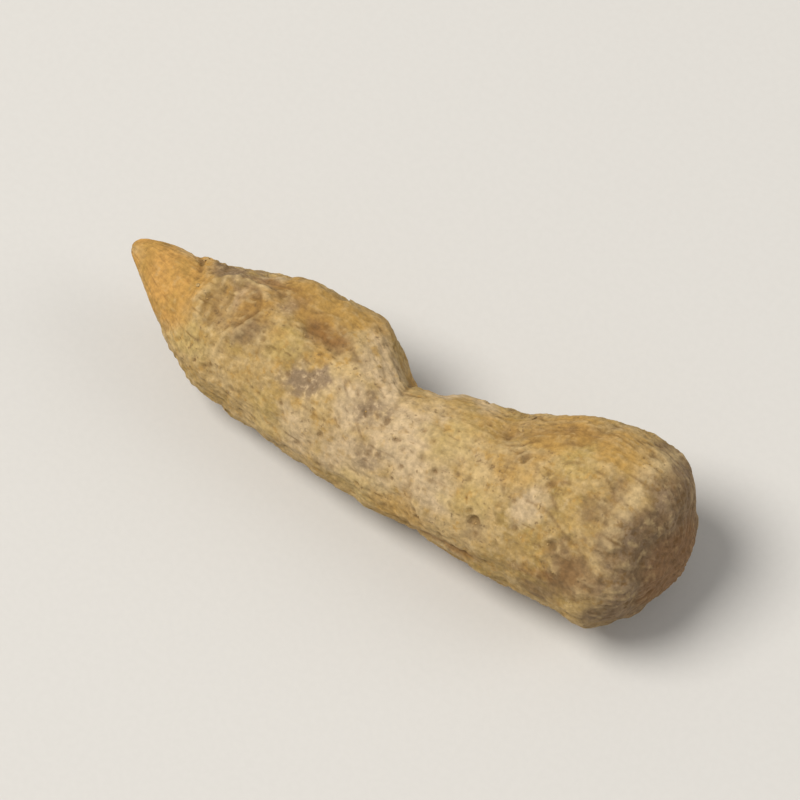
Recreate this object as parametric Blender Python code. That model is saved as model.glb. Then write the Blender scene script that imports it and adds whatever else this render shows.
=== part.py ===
"""One dried turmeric finger, a single piece of rhizome, lying on its flattest side.

Metres, +Z up. +X runs along the finger, from its pointed bud to the thick end where it broke off.
The origin is under the middle of the finger, on the surface that it lies on.

The finger is drawn as a row of oval sections along X. Each section has a side axis and a face axis:
the face axis is the one that the broad, best side of the finger looks along. An angle round the finger
is counted from the side axis (0 degrees) through the face axis (90 degrees).
"""

import math
from collections import namedtuple

import bpy
import numpy as np
from mathutils import Vector, noise

MM = 0.001

# Driving dimensions, in millimetres.
LENGTH = 54.2
HALF_WIDTH = 8.3
HALF_DEPTH = 7.3
FACE_TURN = math.radians(25.3)  # how far the side axis is turned up from the surface below
REST_FLAT_DEPTH = 0.32  # how far the shrunken underside is worn flat

# The mesh: sections along the finger, and points round each.
SECTION_COUNT = 88
POINTS_ROUND = 56

# along: share of LENGTH. side, face: the section's centre, as shares of HALF_WIDTH and HALF_DEPTH.
# wide, deep: its half sizes, as shares of the same two.
Section = namedtuple("Section", "along side wide face deep")
SECTIONS = (
    Section(0.000, 0.270, 0.000, 0.02, 0.000),  # bud tip
    Section(0.005, 0.270, 0.075, 0.02, 0.075),
    Section(0.018, 0.262, 0.128, 0.02, 0.135),
    Section(0.046, 0.226, 0.225, 0.02, 0.235),
    Section(0.088, 0.150, 0.352, 0.00, 0.370),
    Section(0.146, 0.070, 0.522, -0.02, 0.560),
    Section(0.188, 0.047, 0.655, -0.03, 0.690),
    Section(0.234, 0.052, 0.722, -0.04, 0.775),
    Section(0.293, 0.108, 0.780, -0.04, 0.830),  # first joint, behind the bud
    Section(0.352, 0.112, 0.790, -0.03, 0.850),
    Section(0.408, 0.096, 0.804, -0.02, 0.865),
    Section(0.440, 0.070, 0.790, -0.01, 0.855),  # shoulder
    Section(0.470, 0.006, 0.742, 0.00, 0.840),
    Section(0.503, -0.035, 0.697, 0.01, 0.815),  # waist
    Section(0.540, -0.035, 0.697, 0.01, 0.810),
    Section(0.585, 0.005, 0.735, 0.01, 0.820),
    Section(0.643, 0.035, 0.764, 0.02, 0.845),
    Section(0.700, 0.092, 0.812, 0.03, 0.885),
    Section(0.760, 0.210, 0.918, 0.04, 0.945),
    Section(0.816, 0.296, 0.990, 0.05, 0.985),
    Section(0.872, 0.325, 1.000, 0.05, 1.000),  # thickest, by the broken end
    Section(0.926, 0.325, 0.955, 0.05, 0.960),
    Section(0.962, 0.325, 0.840, 0.05, 0.850),
    Section(0.985, 0.325, 0.640, 0.05, 0.650),
    Section(0.996, 0.325, 0.370, 0.05, 0.380),
    Section(1.000, 0.325, 0.000, 0.05, 0.000),  # middle of the broken end
)

# A ring is the scar of a scale leaf. It runs round the finger at `at` mm from the tip, and leans
# `lean` mm further along at `lean_angle` degrees. Its groove is `depth` mm deep at `best_angle`, and
# fades to RING_FADED of that opposite.
Ring = namedtuple("Ring", "at lean lean_angle depth best_angle")
RINGS = (
    Ring(5.4, 2.5, 92, 0.42, 10),  # foot of the bud
    Ring(13.8, 1.3, 100, 0.26, 285),
    Ring(18.2, 0.9, 40, 0.22, 320),
    Ring(23.4, 1.0, 60, 0.24, 270),
    Ring(27.9, 0.8, 95, 0.46, 305),  # waist, where one joint grew out of the other
    Ring(33.2, 0.8, 200, 0.24, 240),
    Ring(38.4, 1.0, 150, 0.26, 285),
    Ring(44.2, 1.2, 320, 0.24, 300),
)
RING_FADED = 0.22
RING_START, RING_WHOLE = 0.5, 3.0  # mm from the tip, between which the rings come up to their full depth
RING_WEAKEST, RING_PATCH_SIZE = 0.75, 5.0  # a ring is deeper in some places than in others
GROOVE_WIDTH = 0.55
LIP_HEIGHT_SHARE = 0.75
LIP_OFFSET = 1.15
LIP_WIDTH = 0.75
WOBBLE, WOBBLE_SIZE = 0.45, 4.0  # how far a ring strays, and over what distance

# A scar is the round mark of a shed root or branch: a low rim about a sunk or raised middle.
Scar = namedtuple("Scar", "at angle radius rim middle")
SCARS = (
    Scar(11.9, 73, 2.9, 0.26, -0.24),
    Scar(16.5, 292, 2.7, 0.34, -0.28),
    Scar(35.6, 348, 1.5, 0.20, -0.12),
    Scar(42.0, 200, 1.7, 0.22, -0.16),
    Scar(30.6, 238, 0.9, 0.12, -0.16),
    Scar(40.5, 300, 1.2, 0.16, -0.12),
)
SCAR_RIM_WIDTH = 0.22  # share of the scar's radius
SCAR_FLOOR, SCAR_WALL = 0.4, 0.95  # shares of the radius, between which the middle rises to the rim

# A bump is a swelling in the skin, such as a sleeping bud. It rises to `height` mm.
Bump = namedtuple("Bump", "at angle radius height")
BUMPS = (
    Bump(22.6, 14, 3.0, 0.50),  # stub of a side shoot, on the shoulder
    Bump(16.8, 32, 2.8, 0.34),  # crest that runs up to the shoulder
    Bump(20.6, 36, 2.4, 0.34),
    Bump(36.2, 326, 1.9, 1.25),  # sleeping bud
    Bump(20.6, 215, 2.6, 0.30),
    Bump(33.4, 76, 3.0, 0.30),
    Bump(45.6, 62, 3.4, 0.28),
    Bump(44.8, 262, 2.8, 0.30),
)

BELL_SHARE = 0.7  # of the radius: the width of the bell that gives a bump or a sink its round shape

# A sink is a spot where the flesh shrank away: the same numbers, with a depth.
Sink = namedtuple("Sink", "at angle radius depth")
SINKS = (
    Sink(28.3, 0, 4.3, 1.12),  # waist, behind the shoulder
    Sink(20.9, 93, 2.1, 0.52),
    Sink(27.2, 78, 1.8, 0.14),
    Sink(28.6, 112, 2.2, 0.14),
    Sink(39.2, 124, 1.3, 0.26),
    Sink(46.0, 122, 1.4, 0.22),
    Sink(41.6, 98, 1.2, 0.20),
    Sink(37.4, 48, 2.6, 0.30),
    Sink(25.0, 196, 2.4, 0.34),
    Sink(47.2, 214, 2.2, 0.36),
    Sink(31.6, 288, 2.2, 0.36),
    Sink(24.4, 262, 1.9, 0.34),
)

# A furrow is a deep wrinkle along the finger, from `start` to `end` mm.
Furrow = namedtuple("Furrow", "start end angle drift depth width")
FURROWS = (
    Furrow(15.8, 23.4, 54, 12, 0.55, 0.80),
    Furrow(30.0, 43.0, 168, -14, 0.34, 0.80),
    Furrow(31.0, 47.0, 352, 16, 0.40, 0.85),
    Furrow(9.5, 21.0, 318, 20, 0.36, 0.80),
    Furrow(33.0, 41.0, 70, 12, 0.20, 0.70),
    Furrow(10.0, 22.0, 236, -10, 0.30, 0.80),
)
FURROW_STRAY, FURROW_STRAY_SIZE = 0.12, 3.0  # radians, mm

LUMP_HEIGHT, LUMP_SIZE = 0.36, 7.5
KNOB_HEIGHT, KNOB_SIZE = 0.20, 2.9
BUD_LUMP_SHARE = 0.3  # the bud is smoother than the skin
BUD_FADE = 1.5  # mm each way, over which the skin's marks fade out at the foot of the bud
WRINKLE_DEPTH, WRINKLE_LENGTH, WRINKLE_SPACING = 0.24, 9.0, 2.1
WRINKLE_SHARPNESS = 0.16
BREAK_START, BREAK_FADE = 51.2, 1.0  # past here the surface is a break, not skin
RIM_AT, RIM_HEIGHT, RIM_WIDTH = 50.1, 0.34, 0.9  # the skin's raised edge round the break
RIM_STRAY_SIZE, RIM_PATCH_SIZE = 3.0, 3.5
BREAK_ROUGHNESS, BREAK_GRAIN = 0.34, 2.0
BREAK_SLOPE, BREAK_SLOPE_SIZE = 0.95, 6.5
BREAK_DISH = 0.45  # how far the middle has shrunk back
CORE_SHARE, CORE_EDGE_DEPTH = 0.58, 0.22  # the core's edge, as a share of the end's half width
CORE_EDGE_WIDTH, CORE_STRAY, CORE_STRAY_SIZE = 0.09, 0.07, 3.0

SKIN_COLOUR = (0.50, 0.32, 0.135, 1.0)
SKIN_ROUGHNESS = 0.82


def spline(knots, values, places):
    """The natural cubic spline through values at knots, read at places. Each column is its own curve."""
    gaps = np.diff(knots)
    slopes = np.diff(values, axis=0) / gaps[:, None]
    matrix = np.eye(len(knots))
    right = np.zeros_like(values)
    for i in range(1, len(knots) - 1):
        matrix[i, i - 1 : i + 2] = gaps[i - 1], 2 * (gaps[i - 1] + gaps[i]), gaps[i]
        right[i] = 6 * (slopes[i] - slopes[i - 1])
    bends = np.linalg.solve(matrix, right)
    i = np.clip(np.searchsorted(knots, places) - 1, 0, len(gaps) - 1)
    gap = gaps[i][:, None]
    after = (knots[i + 1] - places)[:, None] / gap
    before = 1 - after
    bowed = (after**3 - after) * bends[i] + (before**3 - before) * bends[i + 1]
    return after * values[i] + before * values[i + 1] + bowed * gap**2 / 6


def sections_along():
    """Columns x, side centre, half width, face centre, half depth in mm, at even steps from tip to end."""
    drawn = np.array(SECTIONS) * (LENGTH, HALF_WIDTH, HALF_WIDTH, HALF_DEPTH, HALF_DEPTH)
    # A mirrored section past each end makes the curve meet the pole squarely, so the end is round.
    mirror = np.array([1, 1, -1, 1, -1])
    drawn = np.vstack([drawn[1] * mirror, drawn, drawn[-2] * mirror])
    steps = np.linalg.norm(np.diff(drawn, axis=0), axis=1)
    knots = np.concatenate([[0], np.cumsum(steps)])
    places = np.linspace(knots[1], knots[-2], SECTION_COUNT + 2)
    return spline(knots, drawn, places)


def smooth_grid():
    """Points of the bare finger in mm as (x, side, face), with each point's angle and section half width.
    The first and last points are the poles."""
    rows = sections_along()
    angles = np.linspace(0, 2 * math.pi, POINTS_ROUND, endpoint=False)
    rings = rows[1:-1]
    x = np.repeat(rings[:, 0], POINTS_ROUND)
    angle = np.tile(angles, len(rings))
    half_width = np.repeat(rings[:, 2], POINTS_ROUND)
    side = np.repeat(rings[:, 1], POINTS_ROUND) + half_width * np.cos(angle)
    half_depth = np.repeat(rings[:, 4], POINTS_ROUND)
    face = np.repeat(rings[:, 3], POINTS_ROUND) + half_depth * np.sin(angle)
    points = np.column_stack([x, side, face])
    poles = rows[[0, -1]][:, [0, 1, 3]]
    points = np.vstack([poles[0], points, poles[1]])
    pad = (1, 1)
    return points, np.pad(angle, pad), np.pad(half_width, pad)


def grid_faces():
    """Quads between the sections, and a fan of triangles at each pole."""
    last = 1 + SECTION_COUNT * POINTS_ROUND
    faces = []
    for j in range(POINTS_ROUND):
        following = (j + 1) % POINTS_ROUND
        faces.append((0, 1 + following, 1 + j))
        faces.append((last, last - POINTS_ROUND + j, last - POINTS_ROUND + following))
        for i in range(SECTION_COUNT - 1):
            here = 1 + i * POINTS_ROUND
            there = here + POINTS_ROUND
            faces.append((here + j, here + following, there + following, there + j))
    return faces


def noise_at(points):
    """Smooth noise from about -1 to 1 at each point."""
    return np.array([noise.noise(Vector(p)) for p in points])


def bell(distance, width):
    return np.exp(-((distance / width) ** 2))


def ramp(value, start, end):
    """0 before start, 1 after end, and smooth between."""
    share = np.clip((value - start) / (end - start), 0, 1)
    return share * share * (3 - 2 * share)


def angle_between(angle, degrees):
    """Signed difference of two angles, in radians."""
    return (angle - np.radians(degrees) + math.pi) % (2 * math.pi) - math.pi


def ring_distance(ring, points, angle):
    """How far each point lies past the ring, along the finger, in mm."""
    wobble = WOBBLE * noise_at(points / WOBBLE_SIZE + ring.at)
    return points[:, 0] - ring.at - ring.lean * np.cos(angle_between(angle, ring.lean_angle)) - wobble


def ring_relief(points, angle):
    """Each leaf scar: a groove, with a lip on the side of the older joint."""
    height = np.zeros(len(points))
    for ring in RINGS:
        past = ring_distance(ring, points, angle)
        facing = 0.5 + 0.5 * np.cos(angle_between(angle, ring.best_angle))
        strength = ring.depth * (RING_FADED + (1 - RING_FADED) * facing)
        strength *= RING_WEAKEST + 0.5 * noise_at(points / RING_PATCH_SIZE - ring.at)
        lip = LIP_HEIGHT_SHARE * bell(past - LIP_OFFSET, LIP_WIDTH)
        height += strength * (lip - bell(past, GROOVE_WIDTH))
    return height


def across(points, angle, half_width, at, degrees):
    """Distance in mm over the surface from the spot at `at` mm and `degrees`, as (along, round)."""
    return points[:, 0] - at, angle_between(angle, degrees) * np.maximum(half_width, 1.0)


def scar_relief(points, angle, half_width):
    height = np.zeros(len(points))
    for scar in SCARS:
        along, round_ = across(points, angle, half_width, scar.at, scar.angle)
        share = np.hypot(along, round_) / scar.radius
        height += scar.rim * bell(share - 1, SCAR_RIM_WIDTH)
        height += scar.middle * (1 - ramp(share, SCAR_FLOOR, SCAR_WALL))
    return height


def bump_relief(points, angle, half_width):
    """The swellings, less the sinks."""
    height = np.zeros(len(points))
    for bump in BUMPS:
        along, round_ = across(points, angle, half_width, bump.at, bump.angle)
        height += bump.height * bell(np.hypot(along, round_), bump.radius * BELL_SHARE)
    for sink in SINKS:
        along, round_ = across(points, angle, half_width, sink.at, sink.angle)
        height -= sink.depth * bell(np.hypot(along, round_), sink.radius * BELL_SHARE)
    return height


def furrow_relief(points, angle, half_width):
    height = np.zeros(len(points))
    for furrow in FURROWS:
        share = (points[:, 0] - furrow.start) / (furrow.end - furrow.start)
        line = furrow.angle + furrow.drift * share
        middle = np.radians(line) + FURROW_STRAY * noise_at(points / FURROW_STRAY_SIZE)
        aside = angle_between(angle - middle, 0) * np.maximum(half_width, 1.0)
        reach = ramp(share, -0.05, 0.3) * (1 - ramp(share, 0.7, 1.05))
        height -= furrow.depth * reach * bell(aside, furrow.width)
    return height


def wrinkle_relief(points, angle):
    """Long shallow creases, where the flesh shrank under the skin."""
    turn = HALF_WIDTH / WRINKLE_SPACING
    laid = np.column_stack(
        [points[:, 0] / WRINKLE_LENGTH, turn * np.cos(angle), turn * np.sin(angle)]
    )
    crease = bell(noise_at(laid), WRINKLE_SHARPNESS)
    return WRINKLE_DEPTH * (0.5 - crease)


def rim_relief(points):
    """The raised, uneven edge of skin round the broken end."""
    past = points[:, 0] - RIM_AT - WOBBLE * noise_at(points / RIM_STRAY_SIZE)
    uneven = 0.7 + 0.6 * noise_at(points / RIM_PATCH_SIZE + 4.0)
    return RIM_HEIGHT * uneven * bell(past, RIM_WIDTH)


def break_relief(points, half_width):
    """The end where the finger was broken off: dished, sloping and rough, with a groove round its core."""
    slope = BREAK_SLOPE * noise_at(points / BREAK_SLOPE_SIZE + 1.7)
    slope -= BREAK_DISH * (1 - half_width / HALF_WIDTH)
    rough = BREAK_ROUGHNESS * noise_at(points / BREAK_GRAIN)
    share = half_width / HALF_WIDTH + CORE_STRAY * noise_at(points / CORE_STRAY_SIZE)
    return slope + rough - CORE_EDGE_DEPTH * bell(share - CORE_SHARE, CORE_EDGE_WIDTH)


def relief(points, angle, half_width):
    """Height in mm that each point of the bare finger is raised by."""
    bud = ring_distance(RINGS[0], points, angle)
    skin = ramp(bud, -BUD_FADE, BUD_FADE)
    broken = ramp(points[:, 0], BREAK_START - BREAK_FADE, BREAK_START + BREAK_FADE)
    lumps = LUMP_HEIGHT * noise_at(points / LUMP_SIZE) + KNOB_HEIGHT * noise_at(points / KNOB_SIZE)
    on_skin = (
        wrinkle_relief(points, angle)
        + scar_relief(points, angle, half_width)
        + furrow_relief(points, angle, half_width)
    )
    return (
        lumps * (BUD_LUMP_SHARE + (1 - BUD_LUMP_SHARE) * skin)
        + bump_relief(points, angle, half_width)
        + ring_relief(points, angle) * ramp(points[:, 0], RING_START, RING_WHOLE)
        + rim_relief(points)
        + on_skin * skin * (1 - broken)
        + break_relief(points, half_width) * broken
    )


def lay_down(points):
    """(x, side, face) turned into row-frame x, y, z, with the underside worn flat at z = 0."""
    x, side, face = points.T
    y = side * math.cos(FACE_TURN) - face * math.sin(FACE_TURN)
    z = side * math.sin(FACE_TURN) + face * math.cos(FACE_TURN)
    laid = np.column_stack([x, y, z])
    laid[:, 2] = np.maximum(laid[:, 2] - laid[:, 2].min() - REST_FLAT_DEPTH, 0)
    middle = (laid.min(axis=0) + laid.max(axis=0)) / 2
    laid[:, :2] -= middle[:2]
    return laid


def vertex_normals(mesh):
    normals = np.empty(len(mesh.vertices) * 3, np.float32)
    mesh.vertices.foreach_get("normal", normals)
    return normals.reshape(-1, 3)


def skin_material():
    material = bpy.data.materials.new("dried_skin")
    material.use_nodes = True
    shader = material.node_tree.nodes["Principled BSDF"]
    shader.inputs["Base Color"].default_value = SKIN_COLOUR
    shader.inputs["Roughness"].default_value = SKIN_ROUGHNESS
    return material


def turmeric_root():
    """The whole finger as one closed mesh."""
    points, angle, half_width = smooth_grid()
    mesh = bpy.data.meshes.new("turmeric_root")
    mesh.from_pydata(points.tolist(), [], grid_faces())
    raised = points + vertex_normals(mesh) * relief(points, angle, half_width)[:, None]
    mesh.vertices.foreach_set("co", (lay_down(raised) * MM).ravel())
    mesh.update()
    mesh.shade_smooth()
    mesh.materials.append(skin_material())
    root = bpy.data.objects.new("turmeric_root", mesh)
    bpy.context.scene.collection.objects.link(root)
    return root


def main():
    for old in list(bpy.data.objects):
        bpy.data.objects.remove(old)
    turmeric_root()


main()
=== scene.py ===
"""A dried turmeric finger: wrinkled and dusty skin, root stubs, scraps of sheath and crumbs of spice."""

import math
from collections import namedtuple

import bmesh
import bpy
import numpy as np
from bpy.props import FloatProperty, FloatVectorProperty, IntProperty, PointerProperty
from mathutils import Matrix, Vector, noise


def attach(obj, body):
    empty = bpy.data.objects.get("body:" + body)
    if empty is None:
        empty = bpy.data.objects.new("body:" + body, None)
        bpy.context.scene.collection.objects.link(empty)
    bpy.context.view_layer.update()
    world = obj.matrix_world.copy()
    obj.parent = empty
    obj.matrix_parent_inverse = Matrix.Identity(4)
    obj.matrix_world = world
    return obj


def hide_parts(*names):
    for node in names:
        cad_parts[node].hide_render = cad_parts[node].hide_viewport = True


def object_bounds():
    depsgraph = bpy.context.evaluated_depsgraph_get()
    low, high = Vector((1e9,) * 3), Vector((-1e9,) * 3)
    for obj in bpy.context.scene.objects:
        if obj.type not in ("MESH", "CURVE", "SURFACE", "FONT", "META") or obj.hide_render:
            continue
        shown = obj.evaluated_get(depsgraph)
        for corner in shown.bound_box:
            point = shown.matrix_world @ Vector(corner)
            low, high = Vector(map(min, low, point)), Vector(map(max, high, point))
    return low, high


bl_info = {
    "name": "Dried Turmeric Finger",
    "version": (1, 0, 0),
    "blender": (4, 5, 0),
    "location": "3D View > Sidebar > Turmeric",
    "description": "Dresses a plain turmeric finger with dried skin, root stubs, scraps of sheath and dust",
    "category": "Add Mesh",
}

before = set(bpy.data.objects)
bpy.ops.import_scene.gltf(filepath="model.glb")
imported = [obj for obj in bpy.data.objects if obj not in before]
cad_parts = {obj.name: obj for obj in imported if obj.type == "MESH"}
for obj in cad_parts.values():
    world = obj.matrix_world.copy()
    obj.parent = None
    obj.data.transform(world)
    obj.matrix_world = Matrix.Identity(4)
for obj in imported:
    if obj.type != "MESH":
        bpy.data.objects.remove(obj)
SOLID_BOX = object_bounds()

NODE = "turmeric_root"
BODY = "root"
PER_MM = 1000.0
MM = 0.001

# The finger's own axes, as in the solid: along X, and across it a side axis and a face axis.
FACE_TURN = math.radians(25.3)
HALF_WIDTH = 8.3
TIP_SIDE, TIP_FACE = 2.24, 0.15  # where the bud tip lies on those two axes, in mm
BODY_START, BODY_END = 1.5, 50.0  # mm from the tip; the section is read no nearer the ends than this
SLICE = 0.9  # mm, the step at which the section is read

# The marks of the solid, repeated here so that the fine marks lie on them. `at` is in mm along the finger
# from the bud tip, and `angle` in degrees round it. A ring leans `lean` mm further along at `lean_angle`,
# and its groove is `depth` mm deep at `best_angle`.
Ring = namedtuple("Ring", "at lean lean_angle depth best_angle")
RINGS = (
    Ring(5.4, 2.5, 92, 0.42, 10),
    Ring(13.8, 1.3, 100, 0.26, 285),
    Ring(18.2, 0.9, 40, 0.22, 320),
    Ring(23.4, 1.0, 60, 0.24, 270),
    Ring(27.9, 0.8, 95, 0.46, 305),
    Ring(33.2, 0.8, 200, 0.24, 240),
    Ring(38.4, 1.0, 150, 0.26, 285),
    Ring(44.2, 1.2, 320, 0.24, 300),
)
RING_FADED = 0.22  # share of a groove's depth that is left on its far side
RING_WOBBLE, WOBBLE_SIZE = 0.45, 4.0  # mm, how far a ring strays, and over what distance
FULL_DEPTH = 0.34  # a groove this deep in the solid gets the whole fine groove and lip

# A round place on the skin, of full strength unless its fourth number says less.
Spot = namedtuple("Spot", "at angle radius strength", defaults=(1.0,))
SCARS = (
    Spot(11.9, 73, 2.9),
    Spot(16.5, 292, 2.7),
    Spot(35.6, 348, 1.5),
    Spot(42.0, 200, 1.7),
    Spot(30.6, 238, 0.9),
    Spot(40.5, 300, 1.2),
)
RIM_AT, RIM_WIDTH = 50.1, 0.85  # mm, the skin's raised edge round the break
RIM_LIT_AT = 40  # degrees round, where the painted highlight on the rim is palest
BREAK_START = 51.0  # mm, past which the surface is a break, not skin
BREAK_CORE = 0.58  # the core's edge, as a share of the half width

# The bud's orange ends this far from the tip, in mm, and reaches further along the middle of the face.
ORANGE_END, ORANGE_REACH, ORANGE_ANGLE = 4.7, 4.4, 78
ORANGE_LEAST = -0.15  # of that reach, on the far side
ORANGE_FADE = 2.0  # mm each way

# Pits of shed roots, deeper than most of those that are strewn at random.
Pit = namedtuple("Pit", "at angle radius depth")
STREWN_PITS = Pit(at=(9, 50), angle=(0, 360), radius=(0.18, 0.42), depth=(0.05, 0.18))  # from, to
STREWN_SEED = 3
WHOLE_PIT = 0.16  # mm, a pit this deep is as dark as any
PITS = (
    Pit(39.3, 124, 0.64, 0.30),
    Pit(38.7, 117, 0.38, 0.18),
    Pit(42.7, 117, 0.42, 0.20),
    Pit(46.1, 117, 0.58, 0.24),
    Pit(45.4, 112, 0.28, 0.12),
    Pit(37.4, 96, 0.36, 0.14),
    Pit(41.7, 101, 0.30, 0.13),
    Pit(43.7, 84, 0.46, 0.19),
    Pit(43.0, 79, 0.34, 0.15),
    Pit(44.4, 86, 0.30, 0.12),
    Pit(40.6, 72, 0.46, 0.20),
    Pit(39.6, 60, 0.34, 0.15),
    Pit(49.2, 90, 0.36, 0.14),
    Pit(26.2, 70, 0.28, 0.12),
    Pit(26.9, 82, 0.32, 0.14),
    Pit(27.9, 74, 0.26, 0.11),
    Pit(25.6, 84, 0.22, 0.10),
    Pit(34.5, 100, 0.30, 0.13),
    Pit(29.6, 104, 0.34, 0.14),
    Pit(28.0, 113, 0.26, 0.12),
    Pit(19.4, 100, 0.30, 0.13),
    Pit(20.0, 120, 0.30, 0.14),
    Pit(16.2, 88, 0.32, 0.15),
    Pit(15.0, 49, 0.42, 0.17),
    Pit(13.2, 60, 0.40, 0.20),
    Pit(11.4, 84, 0.30, 0.14),
)

# Bare ochre flesh, where the skin has rubbed away; pale places, partly where pale dust clings and partly
# painted light on slopes that turn from the light; ashy places; places where the skin is dull and brown, and
# round the thick end partly painted shade; and sallow, greener places.
WORN = (
    Spot(14.2, 70, 2.2, 0.9),
    Spot(15.6, 34, 2.2),
    Spot(18.6, 40, 3.2),
    Spot(21.0, 76, 1.4, 0.8),
    Spot(16.9, 81, 1.3, 0.4),
    Spot(21.4, 36, 2.0, 0.9),
    Spot(22.6, 24, 2.8, 0.55),
    Spot(13.4, 84, 1.2, 0.6),
    Spot(33.0, 158, 4.0, 0.6),
    Spot(36.5, 44, 3.0, 0.45),
    Spot(42.0, 40, 4.0, 0.8),
    Spot(46.2, 46, 3.2, 0.7),
    Spot(40.4, 78, 2.4, 0.6),
    Spot(30.0, 330, 5.0),
    Spot(46.0, 250, 4.5),
    Spot(14.0, 330, 4.0),
    Spot(22.0, 230, 4.0),
    Spot(38.0, 200, 4.0),
)
PALE_AND_LIT = (
    Spot(0.5, 90, 1.3, 0.8),
    Spot(4.7, 24, 1.4, 0.9),
    Spot(3.0, 176, 1.6, 0.6),
    Spot(30.4, 86, 4.8, 0.9),
    Spot(33.6, 112, 4.2, 0.8),
    Spot(35.2, 122, 2.4, 0.9),
    Spot(27.6, 128, 3.6, 0.8),
    Spot(25.5, 85, 2.7, 0.9),
    Spot(24.8, 58, 2.2, 0.6),
    Spot(27.0, 50, 2.1),
    Spot(30.5, 131, 2.4, 0.8),
    Spot(26.4, 26, 2.0, 0.6),
    Spot(24.0, 33, 2.2, 0.8),
    Spot(13.7, 33, 1.6, 0.7),
    Spot(12.8, 64, 1.5, 0.8),
    Spot(35.2, 78, 2.6, 0.6),
    Spot(22.0, 136, 3.0, 0.7),
    Spot(43.4, 103, 2.2, 0.8),
    Spot(31.2, 18, 2.2, 0.8),
    Spot(34.8, 26, 2.0, 0.6),
    Spot(18.0, 280, 4.0),
    Spot(36.0, 262, 4.4),
    Spot(45.0, 330, 3.6),
    Spot(10.6, 250, 3.4),
)
ASHY = (
    Spot(20.2, 98, 1.6),
    Spot(21.9, 92, 1.8),
    Spot(27.0, 77, 2.0, 0.6),
    Spot(28.8, 110, 1.9, 0.5),
    Spot(10.6, 36, 2.6, 0.5),
    Spot(16.2, 60, 1.3, 0.6),
    Spot(43.0, 300, 3.0, 0.7),
    Spot(24.0, 300, 2.4, 0.7),
    Spot(33.5, 230, 2.6, 0.7),
)
DULL_AND_SHADE = (
    Spot(48.6, 128, 3.2),
    Spot(50.4, 100, 2.2),
    Spot(14.5, 88, 1.9, 0.8),
    Spot(48.2, 86, 1.9, 0.6),
    Spot(48.5, 105, 1.6, 0.5),
    Spot(49.0, 70, 1.8, 0.4),
    Spot(39.7, 134, 1.8, 0.5),
    Spot(50.2, 34, 2.2, 0.5),
    Spot(9.4, 30, 2.6, 0.9),
    Spot(46.5, 150, 2.6, 0.7),
    Spot(40.4, 72, 1.6, 0.6),
    Spot(50.4, 6, 3.2, 0.9),
    Spot(49.0, 290, 3.0),
    Spot(20.0, 270, 3.0, 0.7),
)
SALLOW = (
    Spot(17.5, 79, 1.8),
    Spot(9.4, 120, 2.8, 0.8),
    Spot(34.4, 68, 2.8, 0.8),
    Spot(38.2, 108, 2.8, 0.7),
    Spot(44.2, 68, 2.6, 0.6),
    Spot(29.5, 152, 3.4, 0.8),
    Spot(19.0, 140, 3.0, 0.6),
    Spot(26.0, 220, 4.0, 0.8),
    Spot(41.0, 280, 3.6, 0.7),
    Spot(14.0, 260, 3.0, 0.7),
)

# Each mask's patches, and the size in mm of the noise that breaks up their edges.
PATCHES = {
    "worn": (WORN, 2.4),
    "pale": (PALE_AND_LIT, 2.4),
    "ashy": (ASHY, 1.6),
    "dull": (DULL_AND_SHADE, 1.9),
    "sallow": (SALLOW, 2.6),
}

# Brown stains that run along the finger, from `start` to `end` mm, and turn by `drift` degrees on the way.
Stain = namedtuple("Stain", "start end angle drift width strength")
STAINS = (
    Stain(10.6, 17.0, 36, 10, 0.55, 0.8),
    Stain(17.2, 23.4, 57, 5, 1.0, 1.0),
    Stain(42.8, 45.4, 90, -10, 0.3, 0.5),
    Stain(46.5, 52.0, 126, 2, 1.8, 0.5),
    Stain(12.8, 18.4, 50, 4, 1.5, 0.5),
    Stain(35.5, 47.5, 46, -6, 1.5, 0.40),
    Stain(42.6, 48.6, 140, -2, 0.5, 0.7),
    Stain(34.0, 45.0, 352, 16, 0.8, 0.8),
    Stain(11.0, 20.0, 318, 20, 0.8, 0.8),
    Stain(32.0, 42.0, 168, -14, 0.6, 0.8),
)


def colour_property(name, description, default):
    return FloatVectorProperty(
        name=name, description=description, default=default, size=3, subtype="COLOR", min=0, max=1
    )


def length_property(name, description, default_mm):
    return FloatProperty(
        name=name, description=description, default=default_mm * MM, unit="LENGTH", precision=5
    )


def number_property(name, description, default, **extra):
    return FloatProperty(name=name, description=description, default=default, **extra)


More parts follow.
